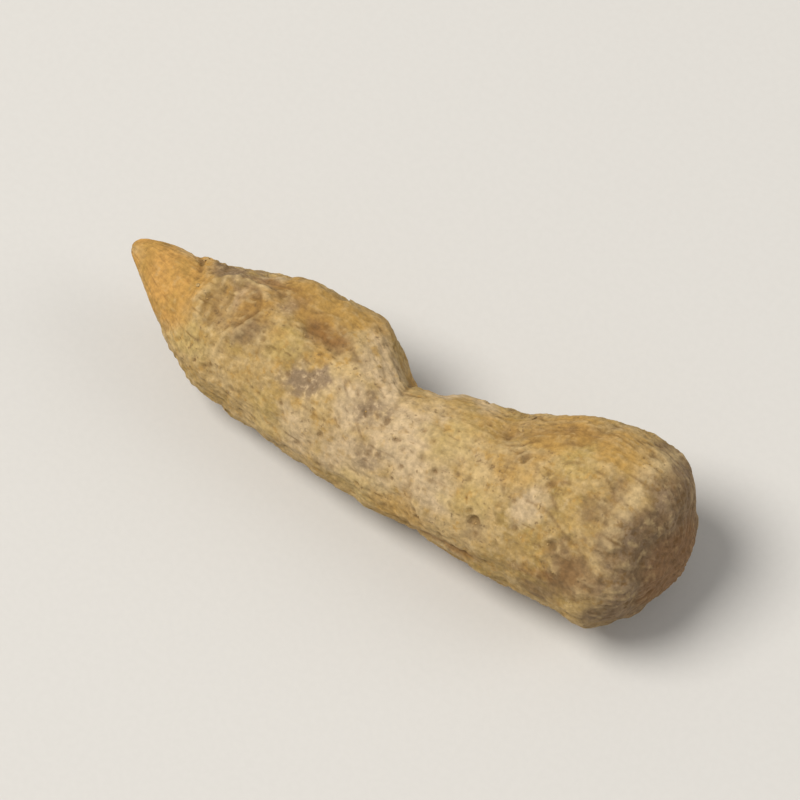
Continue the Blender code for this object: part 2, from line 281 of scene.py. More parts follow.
class TurmericSkinSettings(bpy.types.PropertyGroup):
    """Relief and colours of the dried skin."""

    crease_depth: length_property("Crease depth", "Depth of the lengthwise creases", 0.09)
    crease_spacing: length_property("Crease spacing", "Distance from crease to crease", 0.95)
    wrinkle_depth: length_property("Wrinkle depth", "Depth of the fine wrinkles, both ways", 0.05)
    crack_depth: length_property("Crack depth", "Depth of the long fine cracks", 0.08)
    dent_depth: length_property("Dent depth", "Depth of the shallow dents", 0.12)
    grain_height: length_property("Grain height", "Height of the fine grain", 0.055)
    lip_height: length_property("Lip height", "Height of the torn lip at a ring", 0.16)
    young_ring_height: length_property("Young rings", "Height of the crowded rings behind the bud", 0.06)
    chip_height: length_property("Chip height", "Roughness of the broken end", 0.14)
    pit_count: IntProperty(name="Pits", description="Small pits strewn over the skin", default=240)
    pale: colour_property("Pale skin", "Paler parts of the skin", (0.530, 0.385, 0.190))
    sallow: colour_property("Sallow skin", "Dull yellow green patches", (0.445, 0.318, 0.105))
    dust_and_painted_light: colour_property("Dusty skin", "Skin that pale dust clings to", (0.535, 0.402, 0.242))
    khaki: colour_property("Khaki skin", "Common colour of the skin", (0.385, 0.248, 0.084))
    # As well as pale dust, this colour is painted light in the pale patches on slopes that turn from the
    # light.
    olive: colour_property("Olive skin", "Greener parts of the skin", (0.320, 0.225, 0.066))
    ochre: colour_property("Bare ochre", "Flesh where the skin is rubbed away", (0.410, 0.240, 0.062))
    bud: colour_property("Bud", "The smooth orange bud", (0.490, 0.266, 0.068))
    stain: colour_property("Stain", "Orange brown along the furrows", (0.205, 0.092, 0.022))
    # In grooves, pits and hollows this colour is painted shade; on the break and on the stubs it gives dark
    # blotches.
    shade: colour_property("Groove brown", "Dirt and shade in grooves", (0.150, 0.083, 0.028))
    speck: colour_property("Specks", "Small dark specks", (0.150, 0.092, 0.042))
    ash: colour_property("Ash grey", "Ashy patches", (0.255, 0.178, 0.108))
    # The break and its core are partly their own colour and partly painted shade, darker for the end that
    # faces away from the light.
    broken: colour_property("Break", "The old break at the thick end", (0.190, 0.118, 0.056))
    core: colour_property("Core", "The core of the broken end", (0.225, 0.113, 0.045))


class TurmericBitsSettings(bpy.types.PropertyGroup):
    """The stubs of roots, the scraps of leaf sheath and the crumbs of spice."""

    stub_density: number_property("Stub density", "Root stubs for each square metre of lip", 2.4e6)
    stub_spacing: length_property("Stub spacing", "Least distance from stub to stub", 0.75)
    stub_radius: length_property("Stub radius", "Radius of a root stub", 0.36)
    stub_height: length_property("Stub height", "Height of a root stub", 0.42)
    scrap_density: number_property("Scrap density", "Scraps of sheath for each square metre of lip", 9.0e5)
    scrap_spacing: length_property("Scrap spacing", "Least distance from scrap to scrap", 0.7)
    scrap_radius: length_property("Scrap radius", "Half the length of a scrap", 0.30)
    scrap_height: length_property("Scrap height", "Half the thickness of a scrap", 0.05)
    crumb_density: number_property("Crumb density", "Crumbs for each square metre of pit", 1.6e6)
    crumb_spacing: length_property("Crumb spacing", "Least distance from crumb to crumb", 0.16)
    crumb_radius: length_property("Crumb radius", "Radius of a crumb", 0.075)
    crumb_height: length_property("Crumb height", "Half the height of a crumb", 0.075)
    seed: IntProperty(name="Seed", description="Changes every random place", default=7)


class TurmericStageSettings(bpy.types.PropertyGroup):
    """Camera, floor and light."""

    azimuth: number_property("Azimuth", "Camera's turn", math.radians(35), subtype="ANGLE")
    elevation: number_property("Elevation", "Camera's height", math.radians(60), subtype="ANGLE")
    lens: number_property("Lens", "Focal length in mm", 200)
    fill: number_property("Fill", "Share of the picture that the finger takes", 0.74, subtype="FACTOR")
    floor: colour_property("Floor", "Colour of the plain floor", (0.62, 0.61, 0.59))
    key_power: number_property("Key light", "Power of the key light in watts", 20.0)
    fill_power: number_property("Fill light", "Power of the fill light in watts", 4.5)
    sky: number_property("Sky", "Strength of the even light from all round", 0.33)


# Measuring, all in mm


def noise_at(points):
    """Smooth noise from about -1 to 1 at each point."""
    return np.array([noise.noise(Vector(p)) for p in points])


def bell(distance, width):
    return np.exp(-((distance / width) ** 2))


def ramp(value, start, end):
    """0 before start, 1 after end, and smooth between."""
    share = np.clip((value - start) / (end - start), 0, 1)
    return share * share * (3 - 2 * share)


def angle_between(angle, degrees):
    """Signed difference of two angles, in radians."""
    return (angle - np.radians(degrees) + math.pi) % (2 * math.pi) - math.pi


class Laid:
    """Every point of a mesh in the finger's own coordinates: mm from the tip, and the angle round."""

    def __init__(self, co):
        x, y, z = (co * PER_MM).T
        side = y * math.cos(FACE_TURN) + z * math.sin(FACE_TURN)
        face = z * math.cos(FACE_TURN) - y * math.sin(FACE_TURN)
        tip = x.argmin()
        self.points = np.column_stack([x - x[tip], side - side[tip] + TIP_SIDE, face - face[tip] + TIP_FACE])
        self.x = self.points[:, 0]
        places = np.arange(BODY_START, BODY_END + SLICE, SLICE)
        slices = [self.points[np.abs(self.x - place) < SLICE, 1:] for place in places]
        low = np.array([ring.min(axis=0) for ring in slices])
        high = np.array([ring.max(axis=0) for ring in slices])
        at = np.clip(self.x, BODY_START, BODY_END)
        centre = [np.interp(at, places, ((low + high) / 2)[:, i]) for i in (0, 1)]
        half = [np.interp(at, places, ((high - low) / 2)[:, i]) for i in (0, 1)]
        over = [(self.points[:, i + 1] - centre[i]) / half[i] for i in (0, 1)]
        self.angle = np.arctan2(over[1], over[0])
        self.girth = np.maximum(half[0], 1.0)  # mm over the surface for each radian
        self.out = np.hypot(*over)  # 0 on the centre line, about 1 on the skin

    def noise(self, size, shift=0.0):
        """A cloud with lumps of this size. Another shift gives another cloud."""
        return noise_at(self.points / size + shift)

    def rolled(self, length, spacing):
        """Coordinates for noise that runs along the finger, with no seam round it."""
        turn = HALF_WIDTH / spacing
        return np.column_stack([self.x / length, turn * np.cos(self.angle), turn * np.sin(self.angle)])

    def along(self, length, spacing, shift=0.0):
        """Noise that runs along the finger."""
        return noise_at(self.rolled(length, spacing) + shift)

    def across(self, at, degrees):
        """Distance over the surface from a spot."""
        return np.hypot(self.x - at, angle_between(self.angle, degrees) * self.girth)

    def past_ring(self, ring):
        """How far each point lies past the ring, and the ring's strength there."""
        wobble = RING_WOBBLE * self.noise(WOBBLE_SIZE, ring.at)
        past = self.x - ring.at - ring.lean * np.cos(angle_between(self.angle, ring.lean_angle)) - wobble
        facing = 0.5 + 0.5 * np.cos(angle_between(self.angle, ring.best_angle))
        return past, ring.depth * (RING_FADED + (1 - RING_FADED) * facing) / FULL_DEPTH


# The fine surface


WELD = 2e-6  # m, within which the solid's loose corners are joined
QUAD_FACE, QUAD_SHAPE = math.radians(60), math.radians(50)  # how unlike two triangles in one quad may be
FINER_LEVELS = 2


def plain_surface():
    """A finer, smooth copy of the solid."""
    copy = bmesh.new()
    copy.from_mesh(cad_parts[NODE].data)
    bmesh.ops.remove_doubles(copy, verts=copy.verts, dist=WELD)
    bmesh.ops.join_triangles(
        copy, faces=copy.faces, angle_face_threshold=QUAD_FACE, angle_shape_threshold=QUAD_SHAPE
    )
    mesh = bpy.data.meshes.new(NODE + "_skin")
    copy.to_mesh(mesh)
    copy.free()
    rough = bpy.data.objects.new("rough", mesh)
    bpy.context.scene.collection.objects.link(rough)
    finer = rough.modifiers.new("finer", "SUBSURF")
    finer.levels = finer.render_levels = FINER_LEVELS
    fine = bpy.data.meshes.new_from_object(rough.evaluated_get(bpy.context.evaluated_depsgraph_get()))
    bpy.data.objects.remove(rough)
    return fine


def read_vectors(items, name):
    values = np.empty(len(items) * 3, np.float32)
    items.foreach_get(name, values)
    return values.reshape(-1, 3).astype(float)


def sunk_below(mesh, co, normal, rounds):
    """How far each point lies below the surface round it, in mm. More rounds look further round."""
    edges = np.empty(len(mesh.edges) * 2, np.int32)
    mesh.edges.foreach_get("vertices", edges)
    a, b = edges.reshape(-1, 2).T
    count = np.bincount(edges, minlength=len(co))
    average = co.T.copy()
    for _ in range(rounds):
        for values in average:
            around = np.bincount(a, values[b], len(co)) + np.bincount(b, values[a], len(co))
            values += (around / count - values) / 2
    return ((average.T - co) * normal).sum(axis=1) * PER_MM


Marks = namedtuple("Marks", "height lip groove")
FRAY, FRAY_SIZE = 0.14, 0.8  # mm, how far a ring's edge is frayed, and over what distance
LIP_OFFSET, LIP_WIDTH = 0.55, 0.26  # mm, the lip lies past the groove
FINE_GROOVE_DEPTH, FINE_GROOVE_WIDTH = 0.22, 0.24  # mm


def ring_marks(laid, lip_height):
    """The sharp grooves and the torn lips of the leaf scars."""
    height, lips, grooves = np.zeros((3, len(laid.x)))
    fray = FRAY * laid.noise(FRAY_SIZE)
    torn = ramp(laid.along(2.5, 0.55), -0.35, 0.45)
    for ring in RINGS:
        past, strength = laid.past_ring(ring)
        past += fray
        strength *= ramp(laid.noise(3.5, -ring.at), -0.55, 0.35)
        lip = bell(past - LIP_OFFSET, LIP_WIDTH)
        groove = bell(past, FINE_GROOVE_WIDTH)
        height += strength * (lip_height * torn * lip - FINE_GROOVE_DEPTH * groove)
        lips = np.maximum(lips, lip * strength)
        grooves = np.maximum(grooves, groove * strength**1.6)
    return Marks(height, lips, grooves)


YOUNG_RING_RATE = 7.4  # radians for each mm, which is a ring every 0.85 mm
YOUNG_RING_STRAY = 2.6  # radians
YOUNG_RINGS_START, YOUNG_RINGS_END = (0.4, 1.6), (3.5, 8.0)  # mm past the bud's foot, each a fade


def young_rings(laid, past_foot):
    """Crowded fine rings, about 1 to -1, on the skin that grew last, behind the bud."""
    wave = np.sin(past_foot * YOUNG_RING_RATE + YOUNG_RING_STRAY * laid.noise(2.6) + 0.8 * laid.noise(0.9))
    begun = ramp(past_foot, *YOUNG_RINGS_START)
    reach = begun * (1 - ramp(past_foot + 1.5 * laid.noise(3.0, 4.0), *YOUNG_RINGS_END))
    return wave * reach * ramp(laid.noise(2.2, 7.0), -0.5, 0.4)


# A scar's edge, its outer and its inner circle and its middle: where each lies and how wide it is, as
# shares of the scar's radius, and their heights and depths in mm.
SCAR_CIRCLES = ((1, 0.15), (0.76, 0.11), (0.40, 0.09), (0, 0.2))
SCAR_EDGE_HEIGHT, SCAR_OUTER_DEPTH, SCAR_INNER_DEPTH, SCAR_MIDDLE_HEIGHT = 0.12, 0.14, 0.09, 0.05


def scar_marks(laid):
    """The scars' rims and inner circles, with a lip mask that says how far inside a scar each point is."""
    height, inside, circles = np.zeros((3, len(laid.x)))
    for scar in SCARS:
        share = laid.across(scar.at, scar.angle) / scar.radius + 0.16 * laid.noise(1.3, scar.at)
        broken_up = ramp(laid.noise(1.6, -scar.at), -0.5, 0.3)
        edge, outer, inner, middle = (bell(share - at, width) for at, width in SCAR_CIRCLES)
        height += broken_up * (SCAR_EDGE_HEIGHT * edge - SCAR_OUTER_DEPTH * outer - SCAR_INNER_DEPTH * inner)
        height += SCAR_MIDDLE_HEIGHT * middle
        inside = np.maximum(inside, 1 - ramp(share, 0.7, 1.1))
        circles = np.maximum(circles, broken_up * np.maximum(0.75 * outer, 0.6 * inner))
    return Marks(height, inside, circles)


# A pit's width, and where its raised edge lies and how wide that is, as shares of the pit's radius; and the
# edge's height as a share of the pit's depth.
PIT_WIDTH, PIT_EDGE_AT, PIT_EDGE_WIDTH, PIT_EDGE_HEIGHT = 0.75, 1.25, 0.35, 0.35


def pit_marks(laid, count):
    """The placed and the strewn pits. Returns height, and how deep in a pit each point is, from 0 to 1."""
    rng = np.random.default_rng(STREWN_SEED)
    strewn = zip(*[rng.uniform(*limits, count) for limits in STREWN_PITS])
    height, depth = np.zeros((2, len(laid.x)))
    for pit in (*PITS, *(Pit(*numbers) for numbers in strewn)):
        share = laid.across(pit.at, pit.angle) / pit.radius
        hole = bell(share, PIT_WIDTH)
        height += pit.depth * (PIT_EDGE_HEIGHT * bell(share - PIT_EDGE_AT, PIT_EDGE_WIDTH) - hole)
        depth = np.maximum(depth, hole * min(1.0, pit.depth / WHOLE_PIT))
    return height, depth


def patches(laid, spots, size):
    """1 inside the patches, with ragged edges."""
    found = np.zeros(len(laid.x))
    ragged = 0.5 * laid.noise(size) + 0.3 * laid.noise(size * 0.4)
    for spot in spots:
        share = laid.across(spot.at, spot.angle) / spot.radius
        found = np.maximum(found, spot.strength * (1 - ramp(share + ragged, 0.2, 1.25)))
    return found


def stains(laid):
    """1 along the middle of the strongest stains, with ragged edges."""
    found = np.zeros(len(laid.x))
    for stain in STAINS:
        share = (laid.x - stain.start) / (stain.end - stain.start)
        line = np.radians(stain.angle + stain.drift * share) + 0.12 * laid.noise(3.0)
        aside = angle_between(laid.angle - line, 0) * laid.girth + 0.5 * laid.noise(0.9)
        reach = ramp(share, 0.0, 0.3) * (1 - ramp(share, 0.7, 1.0))
        found = np.maximum(found, stain.strength * reach * bell(aside, stain.width))
    return found


# Each kind of line lies where its noise is near 0: how near, and how long in mm the noise runs.
CREASE_WIDTH, CREASE_LENGTH = 0.13, 5.0
WRINKLE_WIDTH, WRINKLE_LENGTH = 0.2, 2.4
CRACK_WIDTH, CRACK_LENGTH = 0.035, 7.0
ALL_CROSSED = (40, 46)  # mm from the tip, past which crosswise wrinkles are everywhere


def wrinkles(laid, settings):
    """Creases and cracks along the finger, and fine wrinkles both ways. Returns height and cracks."""
    drift = ramp(laid.noise(6.0), -0.3, 0.4)
    crease = bell(laid.along(CREASE_LENGTH, settings.crease_spacing * PER_MM), CREASE_WIDTH)
    crease *= 0.35 + 0.65 * drift
    lengthwise = bell(laid.along(WRINKLE_LENGTH, 0.5), WRINKLE_WIDTH)
    crosswise = bell(laid.along(0.6, 2.6, 6.4), WRINKLE_WIDTH)
    crosswise *= np.maximum(ramp(laid.noise(4.2, 8.0), -0.15, 0.35), ramp(laid.x, *ALL_CROSSED))
    crack = bell(laid.along(CRACK_LENGTH, 2.4, 9.1), CRACK_WIDTH) * ramp(laid.noise(2.2, 5.0), -0.1, 0.3)
    height = -settings.crease_depth * crease - settings.crack_depth * crack
    height -= settings.wrinkle_depth * (lengthwise + 0.9 * crosswise)
    return height * PER_MM, crack


CORE_FADE = (BREAK_CORE - 0.16, BREAK_CORE + 0.04)
CORE_EDGE_WIDTH, CORE_EDGE_DEPTH = 0.05, 0.08  # a share of the half width, and mm
CHIP_SIZES = (1.3, 0.6)  # mm
SPLIT_DEPTH, FIBRE_DEPTH, FIBRE_SIZE = 0.7, 0.6, 0.55  # shares of the chips' height, and mm


def end_marks(laid, broken, rim, chip_height):
    """The chipped end and rim: a faint edge round the core, splits that run out from its middle, and the
    pits of torn fibres in it. Returns height, the dark marks and the core."""
    out = laid.out + 0.09 * laid.noise(3.0) + 0.03 * laid.noise(0.8)
    core = broken * (1 - ramp(out, *CORE_FADE))
    edge = bell(out - BREAK_CORE, CORE_EDGE_WIDTH) * ramp(laid.noise(1.9, 3.0), -0.35, 0.35)
    chips = laid.noise(CHIP_SIZES[0]) + 0.5 * laid.noise(CHIP_SIZES[1], 2.0)
    splits = bell(laid.along(6.0, 0.9, 5.0), 0.16) * ramp(laid.out, 0.15, 0.5)
    fibres = ramp(laid.noise(FIBRE_SIZE, 8.0), 0.15, 0.4) * core
    roughness = chips * (1 - 0.4 * core) - SPLIT_DEPTH * splits - FIBRE_DEPTH * fibres
    height = chip_height * broken * roughness
    height += 0.6 * chip_height * rim * chips - CORE_EDGE_DEPTH * broken * edge
    return height, broken * np.maximum(edge, 0.8 * fibres), core


DENT_SIZES = (1.9, 0.95)  # mm
GRAIN_SIZES = (0.46, 0.32)  # mm
BUD_LINE_HEIGHT = 0.05  # mm
BUD_FADE = (-1.6, 0.6)  # mm past the foot of the bud
BREAK_FADE = (BREAK_START - 0.6, BREAK_START + 0.9)
BREAK_COLOURED = (49.0, 52.6)  # mm from the tip, over which the colour turns to that of the break
DENTS_OFF_SKIN, GRAIN_LOST = 0.35, 0.5  # share of the dents left, and of the grain lost, on bud and break


def skin_relief(laid, settings):
    """Fine relief in mm at each point, and the masks that the colours read."""
    past_foot, _ = laid.past_ring(RINGS[0])
    bud = 1 - ramp(past_foot + 0.5 * laid.noise(1.4), *BUD_FADE)
    broken = ramp(laid.x + 0.7 * laid.noise(1.6), *BREAK_FADE)
    rim = bell(laid.x - RIM_AT - RING_WOBBLE * laid.noise(3.0), RIM_WIDTH)
    # How strongly the rim is painted pale at each angle: a painted highlight, strongest on the side toward
    # the light.
    rubbed = 0.3 + 0.7 * ramp(np.cos(angle_between(laid.angle, RIM_LIT_AT)), 0.0, 0.9)
    skin = (1 - bud) * (1 - broken)
    rings = ring_marks(laid, settings.lip_height * PER_MM)
    scars = scar_marks(laid)
    pitted, in_pit = pit_marks(laid, settings.pit_count)
    wrinkled, crack = wrinkles(laid, settings)
    ended, torn, core = end_marks(laid, broken, rim, settings.chip_height * PER_MM)
    young = young_rings(laid, past_foot)
    dents = laid.noise(DENT_SIZES[0]) + 0.75 * laid.noise(DENT_SIZES[1])
    grain = laid.noise(GRAIN_SIZES[0]) + 0.6 * laid.noise(GRAIN_SIZES[1])
    height = rings.height * (1 - 0.5 * broken) + ended
    height += skin * (scars.height + pitted + wrinkled)
    height += settings.young_ring_height * PER_MM * young
    height += (DENTS_OFF_SKIN + (1 - DENTS_OFF_SKIN) * skin) * settings.dent_depth * PER_MM * dents
    kept = (1 - GRAIN_LOST * bud) * (1 - GRAIN_LOST * broken)
    height += kept * settings.grain_height * PER_MM * grain
    height += bud * BUD_LINE_HEIGHT * (laid.along(9.0, 0.8, 3.3) - bell(laid.along(4.0, 0.6, 1.1), 0.15))
    reach = np.maximum(np.cos(angle_between(laid.angle, ORANGE_ANGLE)), ORANGE_LEAST)
    orange_end = ORANGE_END + ORANGE_REACH * reach
    masks = {
        "bud": 1 - ramp(laid.x - orange_end + 1.2 * laid.noise(2.2), -ORANGE_FADE, ORANGE_FADE),
        "broken": ramp(laid.x + 1.6 * laid.noise(2.2) + 0.7 * laid.noise(0.9), *BREAK_COLOURED),
        # The rim's painted highlight.
        "rim": rim * (1 - broken) * rubbed,
        "core": core,
        "lip": rings.lip * skin,
        "groove": np.clip(rings.groove + crack + scars.groove * skin + 0.5 * torn, 0, 1),
        "scar": scars.lip * skin,
        "pit": in_pit * skin,
        "stain": stains(laid) * skin,
    }
    for name, (spots, size) in PATCHES.items():
        masks[name] = patches(laid, spots, size)
    return height, masks


FINE_ROUNDS, BROAD_ROUNDS = 14, 110  # averaging over about 0.4 mm, and over about 1 mm
CLEAR_OF_FLOOR = 0.8  # mm, below which nothing is strewn
# Root stubs stand on the side turned away from this angle, well above the floor and behind the bud.
STUBLESS_SIDE = 90
STUBS_FROM = 8.0  # mm from the tip
STUBS_ABOVE = 2.0  # mm


def dried_skin_mesh(settings):
    """The solid's surface with the fine relief on it, and its masks as attributes."""
    mesh = plain_surface()
    co = read_vectors(mesh.vertices, "co")
    normal = read_vectors(mesh.vertices, "normal")
    laid = Laid(co)
    height, masks = skin_relief(laid, settings)
    co += normal * (height * MM)[:, None]
    co[:, 2] = np.maximum(co[:, 2], 0)
    mesh.vertices.foreach_set("co", co.astype(np.float32).ravel())
    aloft = ramp(co[:, 2] * PER_MM, CLEAR_OF_FLOOR, 2 * CLEAR_OF_FLOOR)
    # How far each point is sunk below the skin round it: this drives the painted shade in hollows and the
    # painted light on raised points.
    masks["hollow"] = sunk_below(mesh, co, normal, FINE_ROUNDS)
    masks["dip"] = sunk_below(mesh, co, normal, BROAD_ROUNDS)
    lip = masks.pop("lip")
    masks["scrap_place"] = lip * aloft
    turned_away = ramp(-np.cos(angle_between(laid.angle, STUBLESS_SIDE)), 0.4, 0.65)
    well_aloft = ramp(co[:, 2] * PER_MM, STUBS_ABOVE, 2 * STUBS_ABOVE)
    masks["stub_place"] = lip * turned_away * well_aloft * (laid.x > STUBS_FROM)
    masks["dust_place"] = masks["pit"] * aloft
    for name, values in masks.items():
        mesh.attributes.new(name, "FLOAT", "POINT").data.foreach_set("value", values.astype(np.float32))
    rolled = laid.rolled(1.0, 1.0).astype(np.float32)
    mesh.attributes.new("rolled", "FLOAT_VECTOR", "POINT").data.foreach_set("vector", rolled.ravel())
    mesh.update()
    mesh.shade_smooth()
    return mesh


# Materials. In each function `s` is the shading that it adds to, and `c` holds the colours.


MIX_SHARE, MIX_A, MIX_B, MIX_RESULT = 0, 6, 7, 2  # the Mix node's sockets for colours


class Shading:
    """Short ways to add nodes to one material."""

    def __init__(self, name):
        self.material = bpy.data.materials.new(name)
        self.material.use_nodes = True
        self.tree = self.material.node_tree
        self.shader = self.tree.nodes["Principled BSDF"]
        self.place = self.add("ShaderNodeTexCoord").outputs["Object"]

    def add(self, kind, **settings):
        node = self.tree.nodes.new(kind)
        for key, value in settings.items():
            setattr(node, key, value)
        return node

    def feed(self, socket, value):
        if isinstance(value, bpy.types.NodeSocket):
            self.tree.links.new(value, socket)
        elif socket.type == "RGBA":
            socket.default_value = (*value, 1)
        else:
            socket.default_value = value

    def mask(self, name):
        return self.add("ShaderNodeAttribute", attribute_name=name).outputs["Fac"]

    def cloud(self, vector, scale, detail, roughness):
        node = self.add("ShaderNodeTexNoise")
        self.feed(node.inputs["Vector"], vector)
        node.inputs["Scale"].default_value = scale
        node.inputs["Detail"].default_value = detail
        node.inputs["Roughness"].default_value = roughness
        return node.outputs["Fac"]

    def noise(self, size_mm, detail=3, roughness=0.55):
        return self.cloud(self.place, PER_MM / size_mm, detail, roughness)

    def along(self, length, spacing):
        """Noise that runs along the finger."""
        vector = self.add("ShaderNodeAttribute", attribute_name="rolled").outputs["Vector"]
        scale = self.add("ShaderNodeVectorMath", operation="MULTIPLY")
        self.feed(scale.inputs[0], vector)
        scale.inputs[1].default_value = (1 / length, 1 / spacing, 1 / spacing)
        return self.cloud(scale.outputs[0], 1.0, detail=4, roughness=0.6)

    def sums(self, operation, *values):
        node = self.add("ShaderNodeMath", operation=operation)
        for socket, value in zip(node.inputs, values):
            self.feed(socket, value)
        return node.outputs[0]

    def fade(self, value, low, high, out_low=0.0, out_high=1.0):
        """out_low up to low, out_high past high, and smooth between. Low may be above high."""
        node = self.add("ShaderNodeMapRange", interpolation_type="SMOOTHSTEP")
        for key, given in (("Value", value), ("From Min", low), ("From Max", high)):
            self.feed(node.inputs[key], given)
        node.inputs["To Min"].default_value = out_low
        node.inputs["To Max"].default_value = out_high
        return node.outputs["Result"]

    def ragged(self, name, cloud, raggedness, low, high, most):
        """A mask whose edge is broken up by a cloud."""
        broken_up = self.sums("MULTIPLY_ADD", cloud, raggedness, self.mask(name))
        return self.fade(broken_up, low, high, 0.0, most)

    def mix(self, share, a, b, blend="MIX"):
        node = self.add("ShaderNodeMix", data_type="RGBA", blend_type=blend)
        for index, value in ((MIX_SHARE, share), (MIX_A, a), (MIX_B, b)):
            self.feed(node.inputs[index], value)
        return node.outputs[MIX_RESULT]

    def grey(self, value):
        node = self.add("ShaderNodeCombineColor")
        for socket in node.inputs:
            self.feed(socket, value)
        return node.outputs[0]

    def bump(self, height, strength, distance_mm, normal=None):
        node = self.add("ShaderNodeBump")
        node.inputs["Strength"].default_value = strength
        node.inputs["Distance"].default_value = distance_mm * MM
        self.feed(node.inputs["Height"], height)
        if normal:
            self.feed(node.inputs["Normal"], normal)
        return node.outputs["Normal"]


# Noises that the colours share, from the broadest to the finest, and one that runs along the finger.
Tones = namedtuple("Tones", "drift cloud blotch grain streak")


def skin_colour(s, c, tones):
    """Khaki skin, pale with dust or olive in places, rubbed to ochre in patches and ashy in hollows. Some
    pale patches are painted light, and dull patches round the thick end are partly painted shade.
    """
    patch = s.sums("MULTIPLY_ADD", tones.cloud, 0.6, tones.drift)
    colour = s.mix(s.fade(patch, 0.66, 1.0, 0.0, 0.75), c.khaki, c.pale)
    colour = s.mix(s.fade(tones.drift, 0.52, 0.30, 0.0, 0.7), colour, c.olive)
    colour = s.mix(s.fade(tones.blotch, 0.53, 0.68, 0.0, 0.65), colour, c.pale)
    # Pale patches: partly pale dust, partly painted light on slopes that turn from the light.
    colour = s.mix(s.ragged("pale", tones.cloud, 0.9, 0.40, 1.35, 0.9), colour, c.dust_and_painted_light)
    colour = s.mix(s.ragged("sallow", tones.cloud, 1.0, 0.50, 1.45, 0.65), colour, c.sallow)
    colour = s.mix(s.ragged("worn", tones.cloud, 1.1, 0.55, 1.40, 0.95), colour, c.ochre)
    outside_pale_patches = s.fade(s.mask("pale"), 0.1, 0.9, 0.75, 0.3)
    colour = s.mix(s.sums("MULTIPLY", s.fade(tones.blotch, 0.47, 0.32), outside_pale_patches), colour, c.ochre)
    colour = s.mix(s.fade(tones.streak, 0.48, 0.74, 0.0, 0.3), colour, c.pale)
    # Duller brown patches; round the thick end they are partly painted shade.
    colour = s.mix(s.ragged("dull", tones.cloud, 1.2, 0.60, 1.50, 0.85), colour, c.broken)
    ash = s.mix(s.fade(tones.grain, 0.52, 0.66, 0.0, 0.55), c.ash, c.dust_and_painted_light)
    colour = s.mix(s.ragged("ashy", tones.cloud, 1.3, 0.65, 1.55, 0.9), colour, ash)
    colour = s.mix(s.sums("MULTIPLY", s.mask("stain"), 0.85), colour, c.stain)
    return s.mix(s.ragged("scar", tones.cloud, 1.4, 0.90, 1.9, 0.34), colour, c.stain)


def bud_colour(s, c, tones):
    """Orange, browner in streaks, with a little pale dust."""
    colour = s.mix(s.fade(tones.cloud, 0.35, 0.7), c.bud, c.ochre)
    colour = s.mix(s.fade(tones.streak, 0.45, 0.30, 0.0, 0.3), colour, c.stain)
    colour = s.mix(s.sums("MULTIPLY", s.mask("pale"), 0.55), colour, c.pale)
    return s.mix(s.fade(tones.blotch, 0.55, 0.72, 0.0, 0.3), colour, c.pale)


def break_colour(s, c, tones):
    """Grey brown, blotched light and dark, with a browner core. Its darkness is partly the break's own colour
    and partly painted shade for the end that faces away from the light.
    """
    colour = s.mix(s.fade(tones.cloud, 0.38, 0.62, 0.0, 0.8), c.broken, c.ash)
    colour = s.mix(s.fade(tones.blotch, 0.54, 0.70, 0.0, 0.45), colour, c.pale)
    colour = s.mix(s.fade(tones.blotch, 0.47, 0.33, 0.0, 0.85), colour, c.shade)
    return s.mix(s.sums("MULTIPLY", s.mask("core"), 0.6), colour, c.core)


def painted_shade_share(s):
    """How dark each point is painted for lying in a groove, a pit or a hollow: painted shade."""
    grooves = s.sums("MULTIPLY", s.sums("MAXIMUM", s.mask("groove"), s.mask("pit")), 0.62)
    hollow = s.fade(s.mask("hollow"), 0.01, 0.13, 0.0, 0.6)
    dip = s.fade(s.mask("dip"), 0.02, 0.34, 0.0, 0.5)
    return s.sums("MAXIMUM", grooves, s.sums("MAXIMUM", hollow, dip))


def speck_share(s):
    """Small soft specks, thick in some places and few in others, and hardly any on the bud."""
    level = s.fade(s.noise(3.6, 2), 0.35, 0.65, 0.69, 0.57)
    speck = s.fade(s.noise(0.42, 2, 0.6), level, s.sums("ADD", level, 0.14), 0.0, 0.6)
    return s.sums("MULTIPLY", speck, s.fade(s.mask("bud"), 0.2, 1.0, 1.0, 0.2))


def skin_material(c):
    s = Shading("dried_skin")
    tones = Tones(
        drift=s.noise(6.5, 3),
        cloud=s.noise(2.0, 5, 0.62),
        blotch=s.noise(0.95, 3, 0.6),
        grain=s.noise(0.45, 3, 0.6),
        streak=s.along(3.0, 0.8),
    )
    colour = skin_colour(s, c, tones)
    colour = s.mix(s.ragged("bud", tones.cloud, 0.6, 0.45, 1.15, 1.0), colour, bud_colour(s, c, tones))
    # A blotchy painted highlight along the rim of the break, strongest on the side toward the light.
    rim = s.sums("MULTIPLY", s.mask("rim"), s.fade(tones.blotch, 0.36, 0.56, 0.25, 0.95))
    colour = s.mix(rim, colour, c.pale)
    colour = s.mix(s.mask("broken"), colour, break_colour(s, c, tones))
    # Painted shade in grooves, pits and hollows.
    colour = s.mix(painted_shade_share(s), colour, c.shade)
    # Paler where a point stands above the skin round it: painted light on raised points.
    colour = s.mix(s.fade(s.mask("hollow"), -0.01, -0.12, 0.0, 0.4), colour, c.pale)
    colour = s.mix(speck_share(s), colour, c.speck)
    mottle = s.fade(tones.grain, 0.25, 0.75, 0.78, 1.20)
    s.feed(s.shader.inputs["Base Color"], s.mix(1.0, colour, s.grey(mottle), "MULTIPLY"))
    s.feed(s.shader.inputs["Roughness"], s.fade(tones.cloud, 0.3, 0.7, 0.74, 0.92))
    s.shader.inputs["Specular IOR Level"].default_value = 0.3
    coarse = s.bump(tones.cloud, 0.6, 0.18)
    lined = s.bump(tones.streak, 0.4, 0.12, coarse)
    fine = s.bump(tones.grain, 0.7, 0.09, lined)
    s.feed(s.shader.inputs["Normal"], s.bump(s.noise(0.16, 2), 0.6, 0.035, fine))
    return s.material


